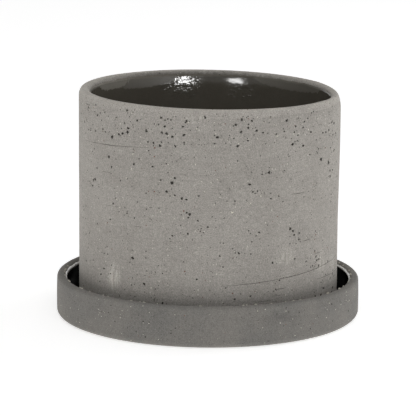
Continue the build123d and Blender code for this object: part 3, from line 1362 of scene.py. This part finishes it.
@dataclass
class Saucer(Vessel):
    """The saucer: its stoneware dish, the glaze in it, and the felt pads under it."""

    recess_radius: float = 73.8
    recess_ceiling: float = 2.0
    rim_round: float = 2.1
    inner_rim_round: float = 2.6
    heel_round: float = 3.3
    inner_round: float = 5.0
    glaze_edge: float = 1.2  # mean depth of the glaze's edge under the rim
    mark_seed: int = 31
    pit_count: int = 110
    grain_count: int = 200
    bared_grains: int = 80

    def measure(self) -> None:
        """Reads the saucer's sizes from the frame, in mm."""
        self.radius, self.underside, self.rim = turned_size("saucer_body")
        self.bore, self.floor, _ = turned_size("saucer_glaze")

    def uneven(self, point: Vector) -> Vector:
        """Gives the dish the unevenness of one made by hand.

        Args:
            point: A point of the even dish, in mm.

        Returns:
            Where the made dish has it.
        """
        flat = math.hypot(point.x, point.y)
        if flat < self.bore - self.inner_round or point.z < self.underside + 0.1:
            return point
        outward = Vector((point.x, point.y, 0)) / flat
        up = smooth(self.underside + 2, self.rim, point.z)
        across = point.x / flat
        belly = -0.3 * ((point.z - 12.0) / 13.0) ** 2 * (1 if point.z > 12 else 0.2)
        swell = 0.08 * waver(point, 40.0, 12.0) - 0.06 - 0.4 * smooth(0.2, 1.0, across)
        point = point + outward * (belly + min(swell, 0.0))
        flat_point = Vector((point.x, point.y, 0))
        sunk = 0.14 * waver(flat_point, 36.0, 14.0) - 0.1 - 0.7 * smooth(0.3, 1.0, across)
        point.z += up * min(sunk, 0.0)
        return point

    def build_body(self) -> Piece:
        """Turns the dish, then opens its pits.

        Returns:
            The piece that stands for the CAD saucer.
        """
        turned = Turning(
            [
                (0, self.recess_ceiling),
                (self.recess_radius, self.recess_ceiling),
                (self.recess_radius, self.underside),
                (self.radius, self.underside),
                (self.radius, self.rim),
                (self.bore, self.rim),
                (self.bore, self.floor),
                (0, self.floor),
            ],
            self.steps,
        )
        turned.round_ring(self.radius, self.rim, self.rim_round, 8)
        turned.round_ring(self.bore, self.rim, self.inner_rim_round, 8)
        turned.round_ring(self.bore, self.floor, self.inner_round, 6)
        turned.round_ring(self.radius, self.underside, self.heel_round, 8)
        turned.round_ring(self.recess_radius, self.underside, 0.5, 3)
        turned.add_levels(
            self.underside + self.heel_round + 0.6, self.rim - self.inner_rim_round - 0.4, 1.6
        )
        turned.move(self.uneven)
        body = turned.finish("saucer_stoneware", self.clay)
        self.carve(body)
        return body

    def marks(self) -> tuple[Mesh, Mesh]:
        """Builds the cutters of the pits in the side, and the pale grains in it and on the rim.

        Returns:
            The cutters and the grains, each as one working mesh.
        """
        lot = random.Random(self.mark_seed)
        pits, grains = bmesh.new(), bmesh.new()
        crowd = Crowd()
        low, high = self.underside + self.heel_round - 1, self.rim - self.rim_round - 0.8
        for number, point, width in self.scatter(
            crowd, lot, self.pit_count, (low + 2, high), lambda: min(0.35 + lot.expovariate(5.0), 1.3)
        ):
            size = Vector((0.55 * width, 0.34, 0.42 * width))
            blob(pits, facing(point, lot.uniform(-1, 1)), size, 1.0, 1, 0.61 * number)
        for number, point, width in self.scatter(
            crowd, lot, self.grain_count, (low + 1, high), lambda: 0.16 + min(lot.expovariate(8), 0.4)
        ):
            size = Vector((width, 0.17, 0.8 * width))
            blob(grains, facing(point, lot.uniform(0, 3), -0.1), size, 0.8, 1, 0.43 * number)
        # Grains that the trimming tool bared along the inner edge of the rim.
        for number in range(self.bared_grains):
            angle = lot.uniform(-math.pi, math.pi)
            point = self.uneven(on_wall(angle, self.rim - 0.2, self.bore + 1.2))
            width = lot.uniform(0.35, 1.1)
            if crowd.fits(point, width):
                size = Vector((width, 0.6, 0.5))
                blob(grains, facing(point, 0.0), size, 0.8, 1, 0.83 * number)
        return pits, grains

    def build_lining(self) -> Piece:
        """Turns the glaze that makes the saucer hold water.

        Returns:
            The piece that stands for the CAD glaze.
        """
        surface = self.bore - self.glaze_depth
        top = self.floor + self.glaze_depth
        skin = Turning(
            [(0.0, top), (surface, top), (surface, self.rim - 0.25)], 2 * self.steps, closed=False
        )
        skin.round_ring(surface, top, self.inner_round - self.glaze_depth, 6)
        skin.add_levels(self.rim - 6.0, self.rim - 0.5, 0.35)
        skin.add_levels(self.floor + self.inner_round + 1, self.rim - 7.0, 2.0)
        skin.move(self.glaze_skin)
        return back_skin(skin, "saucer_glaze_lining", self.glaze)

    def glaze_skin(self, point: Vector) -> Vector:
        """Lays the glaze over the uneven dish, and lets it sink into the clay above its edge.

        Args:
            point: A point of the even lining, in mm.

        Returns:
            Where the fired glaze has it.
        """
        flat = math.hypot(point.x, point.y)
        if flat < self.bore - self.inner_round:
            return point
        outward = Vector((point.x, point.y, 0)) / flat
        depth = self.rim - point.z
        edge = self.glaze_edge + 0.3 * waver(point, 8.0, 16.0) + 0.3 * waver(point, 2.6, 18.0)
        gone = smooth(edge + 0.5, edge - 0.2, depth)
        rounding = lip_round(self.inner_rim_round, depth)
        return self.uneven(point + outward * (rounding + gone * (self.glaze_depth + 0.12)))

    @staticmethod
    def build_pad(node: str, felt: Material) -> Piece:
        """Punches one felt pad where the frame has it.

        Args:
            node: The CAD pad's name.
            felt: Its material.

        Returns:
            The piece that stands for it.
        """
        low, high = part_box(node)
        centre = (low + high) / 2 / MM
        radius = (high.x - low.x) / 2 / MM
        bottom, top = low.z / MM, high.z / MM
        disc = Turning([(0, bottom), (radius, bottom), (radius, top), (0, top)], 96)
        for level in (bottom, top):
            disc.round_ring(radius, level, 0.45, 4)
        middle = Vector((centre.x, centre.y, 0))

        def fray(point: Vector) -> Vector:
            """Frays the cut edge, and moves the pad to its place."""
            edge = smooth(radius - 1.2, radius, math.hypot(point.x, point.y))
            inward = 0.012 * edge * (1 + waver(point + middle, 1.7, 3.3))
            return Vector((point.x, point.y, 0)) * (1 - inward) + Vector((0, 0, point.z)) + middle

        disc.move(fray)
        pad = disc.finish(node + "_felt", felt)
        shade(pad, 50)
        return pad


@dataclass
class Wick:
    """The wick: a felt disc under the soil, and a roll of felt that hangs down into the water."""

    felt: Material
    bottom: float = 0.0
    top: float = 0.0
    disc_radius: float = 0.0
    disc_depth: float = 3.0
    roll_radius: float = 4.2
    layers: int = 3

    def measure(self) -> None:
        """Reads the wick's sizes from the frame, in mm."""
        self.disc_radius, self.bottom, self.top = turned_size("felt_wick")

    def build(self) -> Piece:
        """Turns the disc and the roll, with the edges of the roll's layers at its end.

        Returns:
            The piece that stands for the CAD wick.
        """
        under = self.top - self.disc_depth
        end: list[tuple[float, float]] = [(0.0, self.bottom + 0.5)]
        layer = self.roll_radius / self.layers
        for i in range(self.layers):
            middle, edge = (i + 0.5) * layer, (i + 1) * layer
            end.append((middle, self.bottom))
            end.append((edge - 0.15, self.bottom + 0.15))
            if i < self.layers - 1:
                end.append((edge, self.bottom + 1.1))
        section = end + [
            (self.roll_radius, self.bottom + 0.5),
            (self.roll_radius, under),
            (self.disc_radius, under),
            (self.disc_radius, self.top),
            (0.0, self.top),
        ]
        wick = Turning(section, 144)
        for level in (under, self.top):
            wick.round_ring(self.disc_radius, level, 0.9, 5)
        wick.add_levels(self.bottom + 1.6, under - 0.6, 0.8)
        self.add_rings(wick)
        wick.move(self.soften)
        made = wick.finish("wick_roll", self.felt)
        shade(made, 55)
        return made

    def add_rings(self, wick: Turning) -> None:
        """Divides the disc's flat faces, so that they can be softened.

        Args:
            wick: The turned wick.
        """
        spokes = [
            edge
            for edge in wick.mesh.edges
            if abs(edge.verts[0].co.z - edge.verts[1].co.z) < WELD
            and edge.calc_length() > self.disc_radius / 2
        ]
        bmesh.ops.subdivide_edges(wick.mesh, edges=spokes, cuts=9, use_grid_fill=True)

    def soften(self, point: Vector) -> Vector:
        """Gives the felt its soft, uneven surface and the roll its overlapping end.

        Args:
            point: A point of the even wick, in mm.

        Returns:
            Where the felt has it.
        """
        flat = math.hypot(point.x, point.y)
        if flat < 0.01:
            return point
        outward = Vector((point.x, point.y, 0)) / flat
        if point.z < self.top - self.disc_depth - 0.3 and flat > self.roll_radius - 0.3:
            lap = bearing(point) % FULL_TURN / FULL_TURN
            return point - outward * (0.5 * lap**3 + 0.06 * (1 + waver(point, 2.0, 31.0)))
        rim = smooth(self.disc_radius - 4, self.disc_radius, flat)
        inward = 0.35 * rim * (1 + waver(point, 6.0, 32.0)) / 2
        sag = 0.12 * (1 + waver(point, 7.0, 33.0)) * (1 if point.z > self.top - 1 else 0)
        return point - outward * inward - Vector((0, 0, sag))


# ---------------------------------------------------------------------------------------------
# Studio
# ---------------------------------------------------------------------------------------------


@dataclass
class Softbox:
    """A rectangular studio lamp that points at the planter."""

    name: str
    place: tuple[float, float, float]  # metres
    size: tuple[float, float]  # metres
    power: float  # watts
    in_gloss: bool = True
    in_matt: bool = True

    def build(self, target: Vector) -> None:
        """Hangs the lamp.

        Args:
            target: The point that it faces, in metres.
        """
        data = bpy.data.lights.new(self.name, "AREA")
        data.shape = "RECTANGLE"
        data.size, data.size_y = self.size
        data.energy = self.power
        lamp = bpy.data.objects.new(self.name, data)
        lamp.location = self.place
        lamp.rotation_euler = (target - Vector(self.place)).to_track_quat("-Z", "Y").to_euler()
        lamp.visible_glossy = self.in_gloss
        lamp.visible_diffuse = self.in_matt
        bpy.context.scene.collection.objects.link(lamp)


@dataclass
class Studio:
    """A white sweep, soft light from all round, and a long lens a little above the rim."""

    camera_distance: float = 1.602  # metres in front of the axis
    camera_height: float = 0.396
    camera_side: float = -0.00035
    pitch_down: float = 0.2033  # radians
    roll: float = 0.0073
    lens_mm: float = 229.2
    sky: float = 0.43
    floor_glow: float = 1.2
    floor_lift: float = 0.6

    def build(self) -> None:
        """Makes the floor, the light and the camera."""
        self.build_floor()
        self.build_sky()
        self.build_camera()
        target = Vector((0, 0, 0.08))
        lip = Vector((0, 0.072, 0.135))
        for lamp, aim in (
            (Softbox("right_back_light", (1.25, 0.75, 0.4), (0.9, 1.0), 7.0), target),
            (Softbox("front_fill", (0.1, -1.5, 1.3), (1.2, 0.6), 5.9, in_gloss=False), target),
            (Softbox("right_box", (0.76, -1.52, 0.405), (0.44, 0.47), 62.0, in_matt=False), lip),
            (Softbox("left_box", (-0.72, -1.53, 0.45), (0.40, 0.28), 19.0, in_matt=False), lip),
        ):
            lamp.build(aim)
        view = bpy.context.scene.view_settings
        view.view_transform = "Standard"

    def build_floor(self) -> None:
        """Lays the white floor, which keeps the planter's shadow."""
        mesh = bmesh.new()
        bmesh.ops.create_grid(mesh, x_segments=1, y_segments=1, size=1.0)
        bmesh.ops.scale(mesh, vec=(4000, 4000, 1), verts=mesh.verts)
        material, nodes, _ = new_material("white_sweep")
        paper = nodes.add("BsdfDiffuse", Color=(0.8, 0.8, 0.8, 1))
        lit, shown = (
            nodes.add("AddShader", paper, nodes.add("Emission", Color=WHITE, Strength=strength))
            for strength in (self.floor_glow, self.floor_lift)
        )
        nodes.add("OutputMaterial", nodes.add("MixShader", self.seen(nodes), lit, shown))
        floor = finish_mesh(mesh, "floor", material)

    @staticmethod
    def seen(nodes: Nodes) -> Socket:
        """Tells rays that show a surface from rays that light one.

        Args:
            nodes: The nodes of the material or world.

        Returns:
            1 for camera, glossy and transmission rays, else 0.
        """
        path = nodes.add("LightPath").node.outputs
        some = nodes.add("Math", path["Is Camera Ray"], path["Is Glossy Ray"], operation="MAXIMUM")
        return nodes.add("Math", some, path["Is Transmission Ray"], operation="MAXIMUM")

    def build_sky(self) -> None:
        """Surrounds the set with soft white light."""
        world = bpy.data.worlds.new("soft_white_surround")
        world.use_nodes = True
        nodes = Nodes(world.node_tree)
        light, white = (
            nodes.add("Background", Color=WHITE, Strength=strength) for strength in (self.sky, 1.0)
        )
        nodes.add("OutputWorld", nodes.add("MixShader", self.seen(nodes), light, white))
        bpy.context.scene.world = world

    def build_camera(self) -> None:
        """Stands the camera at the viewing angle."""
        data = bpy.data.cameras.new("camera")
        data.lens = self.lens_mm
        data.sensor_width = 36.0
        data.clip_end = 50.0
        camera = bpy.data.objects.new("camera", data)
        level = Matrix.Rotation(math.pi / 2 - self.pitch_down, 4, "X")
        turned = level @ Matrix.Rotation(self.roll, 4, "Z")
        place = Matrix.Translation((self.camera_side, -self.camera_distance, self.camera_height))
        camera.matrix_world = place @ turned
        bpy.context.scene.collection.objects.link(camera)
        bpy.context.scene.camera = camera


def seat(piece: Piece, body: str, nodes: Iterable[str]) -> None:
    """Rides a finished piece on its body, hides the CAD nodes that it replaces, and logs it.

    Args:
        piece: The piece.
        body: The CAD body that it moves with.
        nodes: The CAD nodes that it replaces.
    """
    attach(piece, body)
    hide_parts(*nodes)
    log.info("%s: %d faces, on %s", piece.name, len(piece.data.polygons), body)


def main() -> None:
    """Builds the planter's looks around the frame, then the studio."""
    logging.basicConfig(level=logging.INFO, format="%(name)s: %(message)s")
    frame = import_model()

    pot_clay = Stoneware(
        "raw_stoneware",
        body="#98948E",
        shade="#938F89",
        lip_height=135.0,
        stain_radius=74.2,
        stain_height=136.0,
        rubs=(
            Rub(-45, 35, 6, 12, 0.36),
            Rub(60, 40, 7, 14, 0.22),
            Rub(70, 35, 7, 12, 0.24),
            Rub(35, 50, 8, 8, 0.20),
            Rub(-6, 134, 7, 4, 0.12),
            Rub(43, 63, 9, 12, -0.07),
            Rub(72, 78, 12, 26, -0.05),
            Rub(-72, 38, 12, 16, -0.06),
            Rub(62, 30, 20, 12, -0.08),
            Rub(150, 70, 14, 12, 0.10),
            Rub(-125, 40, 9, 14, 0.12),
        ),
    ).build()
    saucer_clay = Stoneware(
        "raw_stoneware_dark",
        body="#76736E",
        shade="#6E6C68",
        grain_mm=0.5,
        speck_share=0.25,
        fine_share=0.16,
        grog_share=0.12,
        lip_height=20.0,
        # Its lip top is drawn a little paler too: painted light.
        painted_lip_light=1.15,
        rubs=(
            Rub(26, 16, 12, 7, -0.09),
            Rub(-20, 18, 18, 6, -0.07),
            Rub(-55, 12, 14, 9, 0.05),
            Rub(58, 14, 12, 9, 0.06),
        ),
        rub_wide=9.0,
        rub_tall=5.0,
    ).build()
    # The torn clay in the pits and hairlines is dark partly from real dark grog and partly as painted
    # shade in the hollows.
    pit_clay_painted_shade = BrokenClay("torn_clay_painted_shade", body="#4C4842", dark="#231F1D").build()
    grog = BrokenClay("fired_grog", body="#DAD6C8", dark="#A8A395").build()
    pot_glaze = Glaze(
        "brown_black_glaze",
        body="#4E4A42",
        thin="#5F5B53",
        edge="#6A655A",
        edge_height=138.5,
        edge_spread=2.2,
        brushed=(Rub(-166, 132, 11, 9, 0.36), Rub(163, 128, 8, 6, 0.18)),
        # Starved patches: thin matt glaze, drawn paler partly as a painted reflection.
        starved_sheen=(
            Rub(-139, 139.5, 22, 7.2, 0.09),
            Rub(138, 139, 25, 6.6, 0.12),
            Rub(-119, 139.5, 14, 5.2, 0.5),
        ),
    ).build()
    # Its near-white edge is partly painted light: the bright strip in the shaded gap is drawn far paler
    # than the clay, standing in for the reflection of the white sweep, under a real clear coat.
    saucer_glaze = Glaze(
        "black_glaze",
        body="#0E0D0C",
        thin="#171512",
        edge="#E8E6DF",
        edge_height=22.9,
        edge_coat=1.0,
        edge_spread=0.8,
        gloss=0.1,
    ).build()
    rubber = MouldedRubber().build()
    wick_felt = WoolFelt("undyed_wool_felt", light="#CFC7B4", dark="#A79F8C").build()
    pad_felt = WoolFelt("grey_wool_felt", light="#5A5955", dark="#3A3936").build()

    pot = Pot(pot_clay, pit_clay_painted_shade, grog, pot_glaze)
    pot.measure()
    seat(pot.build_body(), "pot", ["pot_body"])
    seat(pot.build_lining(), "pot", ["pot_glaze"])

    saucer = Saucer(saucer_clay, pit_clay_painted_shade, grog, saucer_glaze)
    saucer.measure()
    seat(saucer.build_body(), "saucer", ["saucer_body"])
    seat(saucer.build_lining(), "saucer", ["saucer_glaze"])
    for node in sorted(name for name in frame["nodes"] if name.startswith("saucer_pad_")):
        seat(saucer.build_pad(node, pad_felt), "saucer", [node])

    wick = Wick(wick_felt)
    wick.measure()
    seat(wick.build(), "wick", ["felt_wick"])

    grommet = frame["nodes"]["drain_grommet"]
    grommet.data.materials.clear()
    grommet.data.materials.append(rubber)

    Studio().build()


if __name__ == "__main__":
    main()
